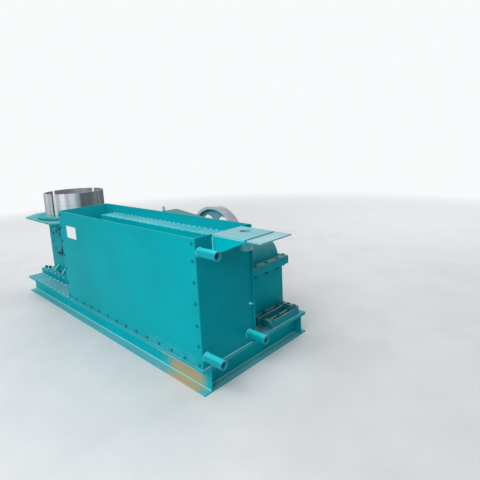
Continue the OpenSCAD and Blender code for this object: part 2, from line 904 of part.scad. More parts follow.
// Drum of separate curved plates with open slots between them
module capstan_drum() {
  color(steel) machine() translate([cap_x, cap_y, drum_z0]) difference() {
    cylinder(d = drum_d, h = drum_h);
    translate([0, 0, -cut]) cylinder(d = drum_d - 2 * drum_t, h = drum_h + 2 * cut);
    for (i = [0 : drum_slots - 1])
      rotate(drum_phase + i * 360 / drum_slots)
        translate([0, -drum_slot_w / 2, -cut]) cube([drum_d, drum_slot_w, drum_h + 2 * cut]);
  }
}

// Wheel place behind the pedestal
ped_x0 = cap_x - ped_w / 2;
ped_y1 = cap_y + ped_d / 2;
wheel_x = ped_x0 + wheel_in;
wheel_z = deck_z + wheel_rise;
wheel_y0 = ped_y1 + boss_l + 11;
boss_d = wheel_shaft_d + 41;

// Bearing boss on the pedestal's back face
module wheel_bearing() {
  color(teal) machine() difference() {
    rod_y([wheel_x, ped_y1, wheel_z], boss_d, boss_l);
    rod_y([wheel_x, ped_y1 + 3, wheel_z], wheel_shaft_d + 2 * run_fit, boss_l);
  }
}

// Wheel with a grooved rim, on its own shaft
module side_wheel() {
  color(steel) machine() {
    rod_y([wheel_x, ped_y1 + 4, wheel_z], wheel_shaft_d, wheel_y0 + wheel_w + 8 - ped_y1 - 4);
    translate([wheel_x, wheel_y0, wheel_z]) rotate([-90, 0, 0]) {
      rotate_extrude() difference() {
        translate([wheel_d / 2 - 18, 0]) square([18, wheel_w]);
        translate([wheel_d / 2, wheel_w / 2]) circle(d = 20);
      }
      translate([0, 0, 10]) cylinder(d = wheel_d - 34, h = wheel_w - 20);
      cylinder(d = wheel_shaft_d + 28, h = wheel_w);
    }
  }
}

// Pipe from the pedestal's outer face up to the wheel bearing, with round unions at both ends
module oil_pipe() {
  low = [ped_x0 - 14, cap_y - 14, deck_z + oil_rise];
  high = [ped_x0 - 14, ped_y1 + boss_l / 2, wheel_z];
  run = [0, high[1] - low[1], high[2] - low[2]];
  color(teal) machine() difference() {
    union() {
      rod_x([low[0] - 10, low[1], low[2]], oil_d + 8, 24);
      rod_x([high[0] - 10, high[1], high[2]], oil_d + 8, 10 + 14 + 3);
      translate(low) rotate([-atan2(run[1], run[2]), 0, 0]) cylinder(d = oil_d, h = norm(run));
    }
    rod_y([wheel_x, ped_y1 - cut, wheel_z], boss_d, boss_l + 2 * cut);
  }
}

// Tap low on the pedestal's outer face
module drain_tap() {
  y = cap_y - 22;
  z = deck_z + tap_rise;
  color(steel) machine() {
    rod_x([ped_x0 - 34, y, z], 18, 34);
    rod_x([ped_x0 - 8, y, z], 30, 8);
    translate([ped_x0 - 26, y, z - 26]) cylinder(d = 12, h = 26);
    translate([ped_x0 - 26, y, z]) cylinder(d = 8, h = 18);
    block([ped_x0 - 31, y - 22, z + 18], [ped_x0 - 21, y + 10, z + 23]);
  }
}

base_front_rail();
base_back_rail();
base_end_rails();
base_cross_members();
deck_plate();
tank_front_panel();
tank_back_wall();
tank_left_end();
tank_right_end();
tank_floor();
tank_bolting_frame();
tank_inner_ledge();
shelf_plate();
shelf_lip();
shelf_gussets();
shelf_socket();
overflow_pipe();
drain_pipe_front();
drain_pipe_back();
die_box();
die_box_lid();
stepped_cones();
cone_shafts();
shaft_seals();
gearbox_body();
gearbox_cover();
cover_eyebolt();
input_bearing_cap();
input_shaft();
drive_pulley();
motor_rails();
foot_bars();
foot_plate();
pedestal_gussets();
pedestal_body();
pedestal_round_cover();
tray_plate();
capstan_bearing();
capstan_shaft();
capstan_flange();
capstan_drum();
wheel_bearing();
side_wheel();
oil_pipe();
drain_tap();
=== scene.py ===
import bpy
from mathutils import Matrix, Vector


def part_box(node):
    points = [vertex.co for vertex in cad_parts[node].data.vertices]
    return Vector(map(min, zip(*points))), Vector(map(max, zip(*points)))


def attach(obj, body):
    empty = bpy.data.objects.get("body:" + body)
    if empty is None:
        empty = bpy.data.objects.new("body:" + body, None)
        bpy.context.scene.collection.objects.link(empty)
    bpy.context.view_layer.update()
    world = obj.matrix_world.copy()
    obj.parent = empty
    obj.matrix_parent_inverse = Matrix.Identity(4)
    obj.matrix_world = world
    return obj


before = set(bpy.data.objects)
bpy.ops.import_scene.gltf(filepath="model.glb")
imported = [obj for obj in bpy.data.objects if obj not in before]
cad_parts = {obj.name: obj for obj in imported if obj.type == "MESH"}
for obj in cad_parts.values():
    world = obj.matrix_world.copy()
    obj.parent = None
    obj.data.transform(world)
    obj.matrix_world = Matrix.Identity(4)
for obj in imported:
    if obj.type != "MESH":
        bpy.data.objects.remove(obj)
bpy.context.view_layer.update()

import math

import bpy
import numpy as np
from mathutils import Matrix, Vector

# Places below are in metres from a point on the front edge of the base, 1.88 m to the left of
# the base's right end and on the floor: x to the right, y to the back, z up.
BASE_RIGHT = 1.88
rail_low, rail_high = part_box("base_front_rail")
ZERO = np.array([rail_high[0] - BASE_RIGHT, rail_low[1], 0.0])


def box(name):
    """Low and high corner of a construction node, as places of the machine to 0.1 mm."""
    return [np.round(np.array(corner) - ZERO, 4).tolist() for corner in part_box(name)]


def middle(name):
    """Middle of a construction node's box, as a place of the machine."""
    low, high = box(name)
    return [(a + b) / 2.0 for a, b in zip(low, high)]


# The view. The camera stands off the machine's front right corner, where it sees the machine's
# corners as the photograph does. A wide soft lamp hangs over the front panel, weaker ones on the
# left and at the back, and the world is lifted, so that each paint shows about as it is written.
PHOTO_PIXELS = 480.0
FOCUS_PIXELS = 392.8
DROP_PIXELS = 26.5
SENSOR = 36.0
EYE = (3.595, -1.387, 1.537)
YAW, PITCH, ROLL = math.radians(-44.0), math.radians(10.23), math.radians(-2.76)
scene = bpy.context.scene
scene.view_settings.view_transform = "Standard"


def camera_axes(yaw, pitch, roll):
    """Right, up and back axes of a camera that looks along +Y turned by yaw to the left,
    tipped down by pitch and leaning by roll: each is the level axis turned by the next angle."""
    cy, sy, cp, sp = math.cos(yaw), math.sin(yaw), math.cos(pitch), math.sin(pitch)
    ahead = np.array([sy * cp, cy * cp, -sp])
    level = np.array([cy, -sy, 0.0])
    top = np.cross(level, ahead)
    c, s = math.cos(roll), math.sin(roll)
    return c * level + s * top, -s * level + c * top, -ahead


lens = bpy.data.cameras.new("view")
lens.sensor_width = SENSOR
lens.lens = SENSOR * FOCUS_PIXELS / PHOTO_PIXELS
lens.shift_y = -DROP_PIXELS / PHOTO_PIXELS
lens.clip_start, lens.clip_end = 0.05, 60.0
stand = np.eye(4)
stand[:3, :3] = np.stack(camera_axes(YAW, PITCH, ROLL), -1)
stand[:3, 3] = ZERO + EYE
eye = bpy.data.objects.new("view", lens)
scene.collection.objects.link(eye)
eye.matrix_world = Matrix(stand.tolist())
scene.camera = eye


def lamp(name, place, aim, size, power):
    """Square area lamp at a place of the part's frame, its -Z axis turned towards a point."""
    data = bpy.data.lights.new(name, "AREA")
    data.shape, data.size, data.energy = "SQUARE", size, power
    ob = bpy.data.objects.new(name, data)
    scene.collection.objects.link(ob)
    ob.location = place
    ob.rotation_euler = (Vector(aim) - Vector(place)).to_track_quat("-Z", "Y").to_euler()


lamp("over_front", (1.7, -4.0, 4.1), (0.6, 0.0, 0.7), 3.6, 215.0)
lamp("over_left", (-5.0, 0.6, 4.0), (-0.6, 0.0, 0.6), 3.5, 120.0)
lamp("over_back", (0.5, 5.4, 4.4), (0.0, 0.0, 0.5), 4.5, 170.0)


class Value:
    """One shader value. A sum written on it adds Math nodes."""

    def __init__(self, tree, sock):
        self.tree, self.sock = tree, sock

    def _sum(self, how, *terms):
        feeds = {f"_{i}": term for i, term in enumerate(terms)}
        return node(self.tree, "ShaderNodeMath", {"operation": how}, **feeds)

    def __add__(self, other):
        return self._sum("ADD", self, other)

    __radd__ = __add__

    def __sub__(self, other):
        return self._sum("SUBTRACT", self, other)

    def __rsub__(self, other):
        return self._sum("SUBTRACT", other, self)

    def __mul__(self, other):
        return self._sum("MULTIPLY", self, other)

    __rmul__ = __mul__

    def __truediv__(self, other):
        return self._sum("DIVIDE", self, other)

    def over(self, low, high):
        """0 below low, 1 above high and a straight slope between."""
        return ((self - low) / (high - low)).most(0.0).least(1.0)

    def under(self, low, high):
        """1 below low, 0 above high and a straight slope between."""
        return 1.0 - self.over(low, high)

    def least(self, other):
        return self._sum("MINIMUM", self, other)

    def most(self, other):
        return self._sum("MAXIMUM", self, other)

    def size(self):
        return self._sum("ABSOLUTE", self)

    def reach(self, other):
        """Length of the diagonal of two values: the root of the sum of their squares."""
        return self._sum("SQRT", self * self + other * other)

    def wave(self):
        """Cosine as a share from 0 to 1."""
        return self._sum("COSINE", self) * 0.5 + 0.5

    def turn(self, other):
        """Angle whose sine and cosine go as self and other."""
        return self._sum("ARCTAN2", self, other)


def node(tree, kind, settings=None, out=0, **feeds):
    """Adds a node of a kind: its settings come first, then values or links for its sockets,
    each by its name or, after a low line, by its number."""
    made = tree.nodes.new(kind)
    for key, value in (settings or {}).items():
        setattr(made, key, value)
    for key, value in feeds.items():
        place = made.inputs[int(key[1:])] if key[0] == "_" else made.inputs[key]
        if isinstance(value, Value):
            tree.links.new(value.sock, place)
        else:
            place.default_value = (*value, 1.0) if place.type == "RGBA" else value
    return Value(tree, made.outputs[out])


world = bpy.data.worlds.new("room")
scene.world = world
world.use_nodes = True
sky = world.node_tree
glow = sky.nodes["Background"]
glow.inputs["Color"].default_value = (0.93, 0.95, 1.0, 1.0)
glow.inputs["Strength"].default_value = 0.34
wall = node(sky, "ShaderNodeBackground", Color=(0.94, 0.95, 0.96), Strength=1.0)
seen = node(sky, "ShaderNodeLightPath", out="Is Camera Ray")
both = node(sky, "ShaderNodeMixShader", _0=seen, _1=Value(sky, glow.outputs[0]), _2=wall)
sky.links.new(both.sock, sky.nodes["World Output"].inputs["Surface"])

# Base frame and deck. Rolled channels welded into a rectangle with cross members, under a deck
# plate, all sprayed with the machine's teal enamel. Sandy mud has splashed the front right end,
# a film lies on the floor flange and boots have dulled the deck.
TEAL = (0.0, 0.36, 0.41)
LIT_SILL_TEAL = (0.0, 0.47, 0.53)
DECK_TEAL = (0.01, 0.34, 0.39)
DUST_AND_SHEEN_TEAL = (0.13, 0.49, 0.55)
DECK_DUST_AND_SHEEN = (0.19, 0.49, 0.57)
DECK_DIRT = (0.11, 0.20, 0.25)
FLANGE_FILM = (0.22, 0.45, 0.49)
OCHRE = (0.58, 0.41, 0.20)


class Finish:
    """A material while it is mixed: a Principled surface and the values that feed it."""

    def __init__(self, name, rough, metal=0.0):
        self.mat = bpy.data.materials.new(name)
        self.mat.use_nodes = True
        self.tree = self.mat.node_tree
        self.face = self.tree.nodes["Principled BSDF"]
        self.fix("Roughness", rough)
        self.fix("Metallic", metal)
        self.at = self.node("ShaderNodeTexCoord", out="Object")
        self.x, self.y, self.z = self.split(self.at)
        self.up = self.split(self.node("ShaderNodeNewGeometry", out="Normal"))[2]

    def node(self, kind, settings=None, out=0, **feeds):
        return node(self.tree, kind, settings, out, **feeds)

    def split(self, vector):
        parted = self.node("ShaderNodeSeparateXYZ", _0=vector).sock.node
        return [Value(self.tree, end) for end in parted.outputs]

    def join(self, x, y, z):
        return self.node("ShaderNodeCombineXYZ", X=x, Y=y, Z=z)

    def scaled(self, x, y, z):
        """The object's place, stretched by a factor along each axis."""
        return self.join(self.x * x, self.y * y, self.z * z)

    def spot(self):
        """The x and the y of the surface as a place of the machine."""
        return self.x - float(ZERO[0]), self.y - float(ZERO[1])

    def noise(self, scale, detail=3.0, rough=0.5, at=None, seed=0.0):
        """Cloudy value from 0 to 1, scale cycles to a metre; seed moves it elsewhere."""
        place = at or self.at
        if seed:
            shift = (seed, seed * 0.7, -seed)
            place = self.node("ShaderNodeVectorMath", {"operation": "ADD"}, _0=place, _1=shift)
        return self.node("ShaderNodeTexNoise", Vector=place, Scale=scale, Detail=detail, Roughness=rough)

    def mix(self, share, first, second):
        """Colour between two colours by a share from 0 to 1."""
        return self.node("ShaderNodeMix", {"data_type": "RGBA"}, 2, _0=share, _6=first, _7=second)

    def edge(self, width):
        """1 on sharp outer edges and 0 on flats: how far the rounded normal leans from the true one."""
        soft = self.node("ShaderNodeBevel", {"samples": 4}, Radius=width)
        true = self.node("ShaderNodeNewGeometry", out="True Normal")
        dot = self.node("ShaderNodeVectorMath", {"operation": "DOT_PRODUCT"}, "Value", _0=soft, _1=true)
        return ((1.0 - dot) * 6.0).least(1.0)

    def fix(self, socket, value):
        """Gives a socket one value all over."""
        self.face.inputs[socket].default_value = value

    def set(self, socket, value):
        """Feeds a socket with a value that changes over the surface."""
        self.tree.links.new(value.sock, self.face.inputs[socket])

    def relief(self, height, depth):
        """Bump of a height field, depth in metres."""
        self.set("Normal", self.node("ShaderNodeBump", Height=height, Strength=1.0, Distance=depth))


def shaded(tint, by, more=0.0):
    """A colour made darker or paler by a factor, with a little white added."""
    return tuple(min(1.0, c * by + more) for c in tint)


def enamel(name, tint, dust_and_sheen_tint, dust_and_sheen=0.3, rough=0.34, stain=None, shine=0.03):
    """Sprayed machine enamel over plate: a cloudy tint, pale edges (paint worn thin and a painted
    highlight), a pale top where a face looks up (dust and a painted sheen from above), small scuffs
    and orange peel. Colour = tint, to the second colour by (up-facing x cloud), and to a stain's
    colour by its share. stain takes the finish and returns that share and colour."""
    f = Finish(name, rough)
    f.fix("Specular IOR Level", shine)
    body = f.mix(f.noise(1.3, 4.0, 0.6).over(0.3, 0.7), shaded(tint, 0.88), shaded(tint, 1.1))
    run = f.noise(1.0, 4.0, 0.6, at=f.scaled(22.0, 22.0, 1.6))
    body = f.mix(run.over(0.62, 0.8) * 0.25, body, shaded(tint, 0.7))
    # Pale edges: partly paint worn thin, partly a painted highlight.
    body = f.mix(f.edge(0.004) * 0.5, body, shaded(tint, 1.1, 0.05))
    scuff = f.noise(1.0, 3.0, 0.55, at=f.scaled(30.0, 30.0, 90.0), seed=7.0).over(0.72, 0.76)
    body = f.mix(scuff * 0.25, body, shaded(tint, 1.0, 0.05))
    patch = 0.45 + 0.55 * f.noise(5.0, 5.0, 0.65, seed=9.0).over(0.3, 0.7)
    # Faces that look up turn pale: partly dust, partly a painted sheen of the light from above.
    top_dust_and_sheen = f.up.over(0.5, 0.95) * patch * dust_and_sheen
    body = f.mix(top_dust_and_sheen, body, dust_and_sheen_tint)
    rough_now = rough + 0.12 * (f.noise(38.0, 3.0, 0.6, seed=3.1) - 0.5) + 0.3 * top_dust_and_sheen
    if stain:
        share, colour = stain(f)
        body = f.mix(share, body, colour)
        rough_now = rough_now + 0.3 * share
    f.set("Base Color", body)
    f.set("Roughness", rough_now)
    f.relief(f.noise(210.0, 2.0, 0.5), 0.0002)
    return f


def dress(finish, *nodes):
    """Gives construction nodes a finish."""
    for name in nodes:
        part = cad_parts[name]
        part.data.materials.clear()
        part.data.materials.append(finish.mat)


def mud(f):
    """Sandy splash on the base's front right end: solid from a torn slanting edge on, below the
    deck's edge, with a mist of specks above it and a thin film on the floor flange."""
    x, y = f.spot()
    cloud = f.noise(1.0, 5.0, 0.68, at=f.scaled(8.0, 4.0, 8.0), seed=2.0)
    speck = f.noise(70.0, 3.0, 0.7, seed=5.0)
    corner = x.under(1.77, 1.86) * y.under(0.07, 0.14)
    low = (x + f.z * 0.6 + cloud * 0.5).over(1.73, 1.81) * f.z.under(0.150, 0.168)
    mist = x.over(1.05, 1.45) * f.z.under(0.18, 0.26) * speck.over(0.46, 0.60) * cloud.over(0.35, 0.6) * 0.5
    splash = (low * (0.75 + 0.25 * speck.over(0.35, 0.6))).most(mist) * corner
    film = f.up.over(0.5, 0.9) * f.z.under(0.02, 0.05) * 0.6 * (0.6 + 0.4 * f.noise(8.0, 5.0, 0.7))
    return (splash * 0.88).most(film), f.mix(splash.over(0.1, 0.4), FLANGE_FILM, OCHRE)


def dirt(tint, most):
    """Stain of trodden dirt: patches with a crisp grain, kept off the deck's rubbed edges and
    thinner at the machine's left."""
    def stain(f):
        x, y = f.spot()
        patch = f.noise(3.2, 6.0, 0.72, seed=6.0).over(0.44, 0.66)
        inner = y.over(0.02, 0.06) * y.under(1.04, 1.08)
        return patch * most * inner * (0.15 + 0.85 * x.over(-0.1, 0.7)), tint
    return stain


# The front rail takes a paler teal than the other rails: painted light on its face.
dress(enamel("sill_lit_enamel", LIT_SILL_TEAL, DUST_AND_SHEEN_TEAL, dust_and_sheen=0.5, stain=mud), "base_front_rail")
dress(enamel("base_enamel", TEAL, DUST_AND_SHEEN_TEAL, dust_and_sheen=0.5, stain=mud),
      "base_back_rail", "base_end_rails", "base_cross_members")
dress(enamel("deck_enamel", DECK_TEAL, DECK_DUST_AND_SHEEN, dust_and_sheen=0.85, rough=0.5, stain=dirt(DECK_DIRT, 0.62)),
      "deck_plate")

# Channel fillets. The rolled channels' rounded inner corners, in the same pale paint as the weld
# beads: a painted highlight along both.
WEB_IN, FLANGE_IN, FILLET_R = 0.0565, 0.0115, 0.004
# The bead paint is far paler than the teal: a painted highlight on fillets, welds, collars and plugs.
bead_highlight_paint = enamel("bead_highlight_enamel", (0.22, 0.72, 0.76), (0.45, 0.85, 0.88), dust_and_sheen=0.6, rough=0.26, shine=0.5)


def skin(rows, sides):
    """Faces of a closed tube of rows x sides points with a cap at both ends. Shapes are pairs
    of a point array and a list of faces, each face turned outward."""
    k = np.arange(rows - 1)[:, None] * sides + np.arange(sides)
    n = np.arange(rows - 1)[:, None] * sides + (np.arange(sides) + 1) % sides
    faces = np.stack([k, n, n + sides, k + sides], -1).reshape(-1, 4).tolist()
    faces.append(list(range(sides))[::-1])
    faces.append(list(range((rows - 1) * sides, rows * sides)))
    return faces


def lathe(profile, sides):
    """Solid of revolution about Z from (radius, height) pairs, lowest first: ring k holds
    (r cos a, r sin a, h) for equal steps of a. The first and the last ring are capped."""
    r, h = np.array(profile, float).T
    a = np.arange(sides) * 2.0 * np.pi / sides
    points = np.stack([r[:, None] * np.cos(a), r[:, None] * np.sin(a), h[:, None] + 0.0 * a], -1)
    return points.reshape(-1, 3), skin(len(r), sides)


def joined(*shapes):
    """Several shapes as one."""
    points, faces, used = [], [], 0
    for p, f in shapes:
        points.append(p)
        faces += [[i + used for i in one] for one in f]
        used += len(p)
    return np.concatenate(points), faces


def aimed(shape, axis, place=(0.0, 0.0, 0.0), turn=0.0):
    """The shape turned about Z, then its Z laid along an axis and moved to a place."""
    z = np.array(axis, float) / np.linalg.norm(axis)
    x = np.cross((0.0, 0.0, 1.0) if abs(z[2]) < 0.9 else (0.0, 1.0, 0.0), z)
    x /= np.linalg.norm(x)
    y = np.cross(z, x)
    c, s = math.cos(turn), math.sin(turn)
    px, py, pz = shape[0].T
    points = np.outer(px * c - py * s, x) + np.outer(px * s + py * c, y) + np.outer(pz, z)
    return points + np.array(place, float), shape[1]


def make(name, shape, finish, body="frame", angle=35.0):
    """Adds a piece from a shape in machine places: smooth up to an angle, riding on a body."""
    mesh = bpy.data.meshes.new(name)
    mesh.from_pydata((shape[0] + ZERO).tolist(), [], shape[1])
    mesh.shade_smooth()
    mesh.set_sharp_from_angle(angle=math.radians(angle))
    mesh.materials.append(finish.mat)
    ob = bpy.data.objects.new(name, mesh)
    scene.collection.objects.link(ob)
    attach(ob, body)


def fillet(start, end):
    """Smooth round rod laid into a corner."""
    way = np.array(end, float) - np.array(start, float)
    return aimed(lathe([(FILLET_R, 0.0), (FILLET_R, float(np.linalg.norm(way)))], 10), way, start)


(base_left, _, _), (_, _, base_top) = box("base_front_rail")
base_deep = box("base_back_rail")[1][1]
(_, end_front, _), (_, end_back, _) = box("base_end_rails")
levels = (FLANGE_IN, base_top - FLANGE_IN)
corners = [fillet((base_left + 0.005, y, z), (BASE_RIGHT - 0.005, y, z))
           for y in (WEB_IN, base_deep - WEB_IN) for z in levels]
corners += [fillet((x, end_front + 0.005, z), (x, end_back - 0.005, z))
            for x in (base_left + WEB_IN, BASE_RIGHT - WEB_IN) for z in levels]
make("channel_fillets", joined(*corners), bead_highlight_paint)

# Water tank. A box of 6 mm plate welded on the deck, its front panel bolted to a frame of
# angle bars, with a ledge along the back wall inside. Brown film covers it to the water line.
WATER_LINE = 0.74
# The tank's walls other than the front panel take a darker teal: painted shade, as the right end faces away
# from the lamps.
SHADED_TANK_TEAL = (0.0, 0.29, 0.345)
INSIDE = (0.0, 0.43, 0.49)
FILM = (0.10, 0.15, 0.12)
(LEFT, FRONT, DECK), (RIGHT, _, RIM) = box("tank_front_panel")
hollow_low, hollow_high = box("tank_floor")


def scum(f):
    """Inside of the tank: fresher paint on its walls, under a brown film up to the water line.
    Within = both x and y lie between the inner faces of the walls."""
    x, y = f.spot()
    within = 1.0
    for place, low, high in ((y, hollow_low[1], hollow_high[1]), (x, hollow_low[0], hollow_high[0])):
        within = place.over(low - 0.0008, low - 0.0002) * place.under(high - 0.0002, high + 0.0004) * within
    cloud = 0.25 + 0.5 * f.noise(9.0, 5.0, 0.7, seed=4.0).over(0.35, 0.65)
    film = (1.0 - f.z.over(WATER_LINE - 0.08, WATER_LINE) * 0.9) * cloud
    return within * f.up.size().under(0.5, 0.8), f.mix(film, INSIDE, FILM)


# The inner ledge and the shelf gussets take a paler teal: painted light.
ledge_lit_paint = enamel("ledge_lit_enamel", (0.0, 0.46, 0.52), (0.20, 0.62, 0.70), dust_and_sheen=0.8, rough=0.36)
dress(enamel("front_enamel", TEAL, DUST_AND_SHEEN_TEAL, dust_and_sheen=0.5, stain=mud), "tank_front_panel")
dress(enamel("tank_shaded_enamel", SHADED_TANK_TEAL, DUST_AND_SHEEN_TEAL, dust_and_sheen=0.5, stain=scum),
      "tank_right_end", "tank_floor", "tank_back_wall", "tank_left_end", "tank_bolting_frame")
dress(ledge_lit_paint, "tank_inner_ledge")

# Panel bolts. Painted steel hexagon heads hold the front panel to the angle bars: a row along
# the bottom and a column at each end, at the photograph's places.
ROW_Z = DECK + 0.024
bolt_paint = enamel("bolt_enamel", (0.0, 0.17, 0.20), (0.06, 0.33, 0.37), dust_and_sheen=0.5, rough=0.4)


def spread(shape, axis, places, spin=0.7):
    """One shape at many places along an axis, each turned a little further than the last."""
    return joined(*[aimed(shape, axis, place, spin * i) for i, place in enumerate(places)])


def hex_bolt(across=0.018, high=0.0068):
    """Hexagon head with a chamfered crown on a plain washer."""
    r = across / math.sqrt(3.0)
    washer = lathe([(across * 0.62, 0.0), (across * 0.62, 0.0015), (across * 0.58, 0.0019)], 14)
    head = lathe([(r, 0.001), (r, high * 0.8), (r * 0.84, high)], 6)
    return joined(washer, head)


row = [(x, FRONT, ROW_Z) for x in np.linspace(-0.03, 1.84, 14)]
left_column = [(-0.032, FRONT, z) for z in (0.969, 0.848, 0.727, 0.591, 0.461, 0.322)]
right_column = [(1.84, FRONT, z) for z in (0.973, 0.865, 0.732, 0.598, 0.457, 0.322)]
make("panel_bolts", spread(hex_bolt(), (0, -1, 0), row + left_column + right_column), bolt_paint)

# Rating plate. A blank white sheet on four bright steel rivets, at the panel's upper left.
PLATE_X, PLATE_Z, RIVET_IN = (0.088, 0.267), (0.775, 0.882), 0.006


def metal(name, tint, rough, metallic=1.0, grain=None, grime=0.25):
    """Bare metal: a tint broken by cloud, a fine turned or brushed grain in the roughness and
    dark grime in the hollows of a coarse noise. grain takes the finish and returns a place. The
    mixed colour stays at hand as base."""
    f = Finish(name, rough, metallic)
    body = f.mix(f.noise(4.0, 4.0, 0.6).over(0.3, 0.7), shaded(tint, 0.85), shaded(tint, 1.12))
    body = f.mix(f.noise(11.0, 5.0, 0.7, seed=8.0).over(0.55, 0.75) * grime, body, shaded(tint, 0.35))
    line = f.noise(1.0, 2.0, 0.5, at=grain(f) if grain else None)
    f.base = f.mix(line.over(0.3, 0.7) * 0.35, body, shaded(tint, 0.72))
    f.set("Base Color", f.base)
    f.set("Roughness", rough + 0.22 * (line - 0.5))
    f.relief(line, 0.00006)
    return f


def slab(low, high, ease=0.0015):
    """Plate between two corners with its edges eased: two inner outlines top and bottom and two
    full outlines between them."""
    low, high = np.array(low, float), np.array(high, float)
    mid, half = (low + high) / 2.0, (high - low) / 2.0
    e = min(ease, *(0.45 * half))
    sx, sy = np.array([-1, 1, 1, -1]), np.array([-1, -1, 1, 1])
    rows = [(e, -half[2]), (0.0, e - half[2]), (0.0, half[2] - e), (e, half[2])]
    points = [np.stack([sx * (half[0] - i), sy * (half[1] - i), h + 0.0 * sx], -1) for i, h in rows]
    return np.concatenate(points) + mid, skin(4, 4)


steel = metal("machined_steel", (0.50, 0.51, 0.52), 0.38, 0.9, lambda f: f.scaled(40.0, 900.0, 40.0))
white_plate = Finish("white_plate", 0.5)
white_plate.set("Base Color", white_plate.mix(white_plate.noise(30.0, 4.0, 0.6).over(0.4, 0.7) * 0.4,
                                              (0.86, 0.88, 0.88), (0.74, 0.78, 0.79)))
sheet = slab((PLATE_X[0], FRONT - 0.0016, PLATE_Z[0]), (PLATE_X[1], FRONT + 0.001, PLATE_Z[1]), 0.0006)
make("rating_plate", sheet, white_plate)
rivets = [(x, FRONT - 0.0015, z) for x in (PLATE_X[0] + RIVET_IN, PLATE_X[1] - RIVET_IN)
          for z in (PLATE_Z[0] + RIVET_IN, PLATE_Z[1] - RIVET_IN)]
rivet = lathe([(0.003, 0.0), (0.0028, 0.0006), (0.0015, 0.0012)], 10)
make("plate_rivets", spread(rivet, (0, -1, 0), rivets), steel)

# Shelf. A plate welded to the end wall on two gussets, a lip plate under its outer end and a
# socket below its hole. Its paint is dusty and trodden; the gussets and the socket take paler teal, painted
# light.
SHELF_DIRT = (0.30, 0.37, 0.38)
dress(enamel("shelf_enamel", (0.12, 0.50, 0.56), (0.34, 0.55, 0.61), dust_and_sheen=0.9, rough=0.48,
             stain=dirt(SHELF_DIRT, 0.4)), "shelf_plate")
dress(enamel("lip_enamel", (0.16, 0.53, 0.58), (0.46, 0.62, 0.66), dust_and_sheen=0.95, rough=0.45,
             stain=dirt(SHELF_DIRT, 0.3)), "shelf_lip")
dress(ledge_lit_paint, "shelf_gussets")
dress(enamel("socket_lit_enamel", (0.10, 0.50, 0.52), DUST_AND_SHEEN_TEAL, rough=0.3, shine=0.4), "shelf_socket")

# Pipe stubs. Three painted pipes out of the end wall: the overflow above and two drains below.
# A heavy socket sleeve sits over each, chamfered at its mouth, with a weld ring at the wall.
PIPES = ("overflow_pipe", "drain_pipe_front", "drain_pipe_back")
SLEEVE_R, SLEEVE_BORE, SLEEVE_LONG = 0.0302, 0.0242, 0.1558
pipe_end = box("overflow_pipe")[1][0]
stubs = [(RIGHT + 0.0005, *middle(name)[1:]) for name in PIPES]


def hoop(r, h):
    """Closed ring about Z from the radii and heights of its section at each step round, one row
    a step and the section's points counterclockwise: (r cos a, r sin a, h)."""
    sides, n = r.shape
    a = np.arange(sides)[:, None] * 2.0 * np.pi / sides
    points = np.stack([r * np.cos(a), r * np.sin(a), h + 0.0 * r], -1)
    k, m = np.arange(sides)[:, None], np.arange(n)[None, :]
    k2, m2 = (k + 1) % sides, (m + 1) % n
    faces = np.stack([k * n + m, k2 * n + m, k2 * n + m2, k * n + m2], -1).reshape(-1, 4)
    return points.reshape(-1, 3), faces.tolist()


def ring(R, r, sides=28, ripple=0.0):
    """Torus about Z whose tube swells as the sine of a dozen turns."""
    a = np.arange(sides)[:, None] * 2.0 * np.pi / sides
    t = np.arange(7)[None, :] * 2.0 * np.pi / 7
    tube = r * (1.0 + ripple * np.sin(a * 12.0))
    return hoop(R + tube * np.cos(t), tube * np.sin(t))


def pipe_bore_shade(f):
    """Painted shade in the bores: any place nearer a pipe's axis than its bore, teal at the mouth and
    dark grey further in. The gap between pipe and sleeve at the mouth is darkened too: painted shade."""
    x, y = f.spot()
    far = [(y - py).reach(f.z - pz) for _, py, pz in stubs]
    near = far[0].least(far[1]).least(far[2])
    inside = near.under(0.0200, 0.0206)
    gap_shade = near.under(SLEEVE_BORE - 0.0007, SLEEVE_BORE) * x.over(pipe_end - 0.0005, pipe_end - 0.0001)
    bore_shade = f.mix(x.over(pipe_end - 0.05, pipe_end - 0.01), (0.12, 0.15, 0.17), (0.03, 0.50, 0.58))
    return inside.most(gap_shade * 0.7), f.mix(gap_shade, bore_shade, (0.22, 0.24, 0.26))


# The pipes' pale tops are a painted highlight along them.
pipe_paint = enamel("pipe_enamel", (0.0, 0.32, 0.37), (0.04, 0.72, 0.78), dust_and_sheen=1.0, rough=0.22,
                    stain=pipe_bore_shade, shine=0.15)
dress(pipe_paint, *PIPES)
section = np.array([(SLEEVE_R, 0.0), (SLEEVE_R, SLEEVE_LONG - 0.0028),
                    (SLEEVE_R - 0.0012, SLEEVE_LONG - 0.0003),
                    (SLEEVE_BORE, SLEEVE_LONG), (SLEEVE_BORE, 0.0)])
sleeve = hoop(*[np.tile(column, (40, 1)) for column in section.T])
make("pipe_collars", spread(ring(SLEEVE_R, 0.0021, 48, 0.4), (1, 0, 0), stubs), bead_highlight_paint, angle=70.0)
make("pipe_sockets", spread(sleeve, (1, 0, 0), stubs), pipe_paint, angle=25.0)

# End wall plug. A round steel plug in its weld boss, painted over with the wall, and a small
# vent screw beside it. Both take the pale bead paint: a painted highlight.
boss = lathe([(0.0095, 0.0), (0.0088, 0.004), (0.0066, 0.0045), (0.0062, 0.011), (0.005, 0.0125)], 16)
vent = lathe([(0.006, 0.0), (0.006, 0.006), (0.004, 0.008)], 6)
plug = joined(aimed(boss, (1, 0, 0), (RIGHT, 0.455, 0.459)), aimed(vent, (1, 0, 0), (RIGHT, 0.478, 0.448)))
make("wall_plug", plug, bead_highlight_paint)

